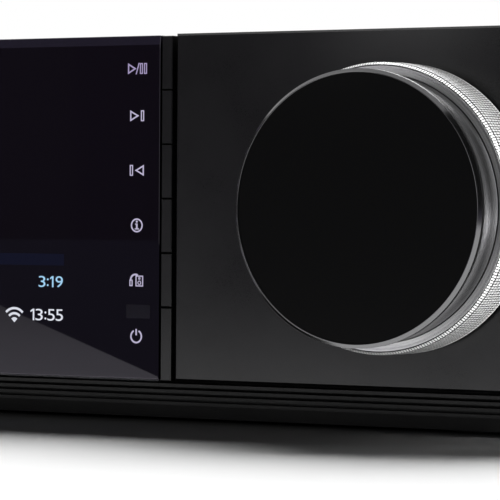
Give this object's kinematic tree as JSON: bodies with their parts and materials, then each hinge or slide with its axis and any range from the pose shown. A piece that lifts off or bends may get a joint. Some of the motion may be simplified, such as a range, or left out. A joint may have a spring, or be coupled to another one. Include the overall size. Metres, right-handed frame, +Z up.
{
  "type": "network music streamer",
  "caption": "Low black all-in-one music streamer with a gloss glass display front, a column of slim buttons and a large double knob with a knurled silver ring.",
  "frame": {"origin": "on the floor under the feet, under the middle of the whole box", "axes": "+X to the player's right as seen from the front, +Y to the back, +Z up"},
  "size_m": [0.317, 0.352, 0.089],
  "materials": {
    "black_plastic": "fine textured black moulding",
    "rubber": "black rubber",
    "black_steel": "fine textured black paint",
    "bare_aluminium": "milled",
    "black_anodised": "satin black anodised",
    "nickel": "nickel plate",
    "dark_steel": "blackened steel",
    "black_glass": "gloss black glass",
    "screen": "dark screen",
    "circuit_board": "green solder mask",
    "clear_plastic": "clear light guide",
    "smoked_plastic": "dark red lens",
    "satin_anodised": "satin black anodised",
    "knurled_aluminium": "bright knurled",
    "turned_aluminium": "dark polished",
    "knob_black": "satin black disc",
    "bare_steel": "plain steel",
    "gloss_black": "gloss black",
    "gold_plate": "gold plate",
    "cap_black": "black terminal cap",
    "cap_red": "red terminal cap",
    "chip_black": "moulded packages",
    "brass": "plain brass"
  },
  "bodies": {
    "case": {"ribbed_plinth": "black_plastic", "foot_bars": "black_plastic", "rubber_feet": "rubber", "base_tray": "black_steel", "side_frame_left": "bare_aluminium", "side_frame_right": "bare_aluminium", "rear_panel": "black_steel", "socket_plate": "black_plastic", "top_cover": "black_steel", "panel_magnets": "nickel", "case_screws": "dark_steel", "front_frame": "black_plastic", "knob_backing": "black_plastic", "display_glass": "black_glass", "display_module": "screen", "icon_light_guide": "clear_plastic", "ir_receiver": "smoked_plastic", "knob_fascia": "satin_anodised", "tact_switches": "dark_steel", "knob_encoder": "bare_steel", "encoder_nut": "nickel", "front_boards": "circuit_board", "headphone_socket": "black_plastic", "mains_inlet": "black_plastic", "inlet_pins": "nickel", "switch_frame": "black_plastic", "terminal_plate": "black_plastic", "terminal_studs": "gold_plate", "rca_housings": "black_plastic", "rca_barrels": "gold_plate", "ethernet_socket": "bare_steel", "usb_socket": "bare_steel", "hdmi_socket": "bare_steel", "optical_socket": "black_plastic", "main_board": "circuit_board", "main_board_chips": "chip_black", "power_supply_board": "circuit_board", "supply_parts": "chip_black", "amplifier_board": "circuit_board", "heatsink": "black_anodised", "board_standoffs": "brass"},
    "play_pause_button": {"button_play_pause": "satin_anodised"},
    "next_button": {"button_next": "satin_anodised"},
    "previous_button": {"button_previous": "satin_anodised"},
    "info_button": {"button_info": "satin_anodised"},
    "output_button": {"button_output": "satin_anodised"},
    "power_button": {"button_power": "satin_anodised"},
    "volume": {"volume_knob": "turned_aluminium", "knob_cap": "knob_black", "volume_shaft": "bare_steel"},
    "selector": {"selector_ring": "knurled_aluminium", "selector_shaft": "bare_steel"},
    "mains_rocker": {"power_rocker": "gloss_black"},
    "optical_flap": {"optical_shutter": "black_plastic"},
    "left_panel": {"side_panel_left": "black_anodised"},
    "right_panel": {"side_panel_right": "black_anodised"},
    "right_minus_cap": {"terminal_cap_right_minus": "cap_black"},
    "right_plus_cap": {"terminal_cap_right_plus": "cap_red"},
    "left_minus_cap": {"terminal_cap_left_minus": "cap_black"},
    "left_plus_cap": {"terminal_cap_left_plus": "cap_red"}
  },
  "joints": [
    {"name": "play_pause_press", "type": "slide", "parent": "case", "child": "play_pause_button", "axis": [0, 1, 0], "range_m": [0, 0.0006], "stiffness_N_per_m": 1000},
    {"name": "next_press", "type": "slide", "parent": "case", "child": "next_button", "axis": [0, 1, 0], "range_m": [0, 0.0006], "stiffness_N_per_m": 1000},
    {"name": "previous_press", "type": "slide", "parent": "case", "child": "previous_button", "axis": [0, 1, 0], "range_m": [0, 0.0006], "stiffness_N_per_m": 1000},
    {"name": "info_press", "type": "slide", "parent": "case", "child": "info_button", "axis": [0, 1, 0], "range_m": [0, 0.0006], "stiffness_N_per_m": 1000},
    {"name": "output_press", "type": "slide", "parent": "case", "child": "output_button", "axis": [0, 1, 0], "range_m": [0, 0.0006], "stiffness_N_per_m": 1000},
    {"name": "power_press", "type": "slide", "parent": "case", "child": "power_button", "axis": [0, 1, 0], "range_m": [0, 0.0006], "stiffness_N_per_m": 1000},
    {"name": "volume_turn", "type": "hinge", "parent": "case", "child": "volume", "pos_m": [0.1, -0.165, 0.0495], "axis": [0, 1, 0], "continuous": true},
    {"name": "selector_turn", "type": "hinge", "parent": "case", "child": "selector", "pos_m": [0.1, -0.165, 0.0495], "axis": [0, 1, 0], "continuous": true},
    {"name": "mains_rock", "type": "hinge", "parent": "case", "child": "mains_rocker", "pos_m": [0.125, 0.153, 0.06], "axis": [1, 0, 0], "range_deg": [0, 14]},
    {"name": "right_minus_unscrew", "type": "slide", "parent": "case", "child": "right_minus_cap", "axis": [0, 1, 0], "range_m": [0, 0.004]},
    {"name": "right_plus_unscrew", "type": "slide", "parent": "case", "child": "right_plus_cap", "axis": [0, 1, 0], "range_m": [0, 0.004]},
    {"name": "left_minus_unscrew", "type": "slide", "parent": "case", "child": "left_minus_cap", "axis": [0, 1, 0], "range_m": [0, 0.004]},
    {"name": "left_plus_unscrew", "type": "slide", "parent": "case", "child": "left_plus_cap", "axis": [0, 1, 0], "range_m": [0, 0.004]},
    {"name": "flap_swing", "type": "hinge", "parent": "case", "child": "optical_flap", "pos_m": [0.034, 0.1564, 0.03215], "axis": [1, 0, 0], "range_deg": [-80, 0], "stiffness_Nm_per_rad": 0.0008},
    {"name": "left_panel_pull", "type": "slide", "parent": "case", "child": "left_panel", "axis": [-1, 0, 0], "range_m": [0, 0.025]},
    {"name": "right_panel_pull", "type": "slide", "parent": "case", "child": "right_panel", "axis": [1, 0, 0], "range_m": [0, 0.025]}
  ]
}
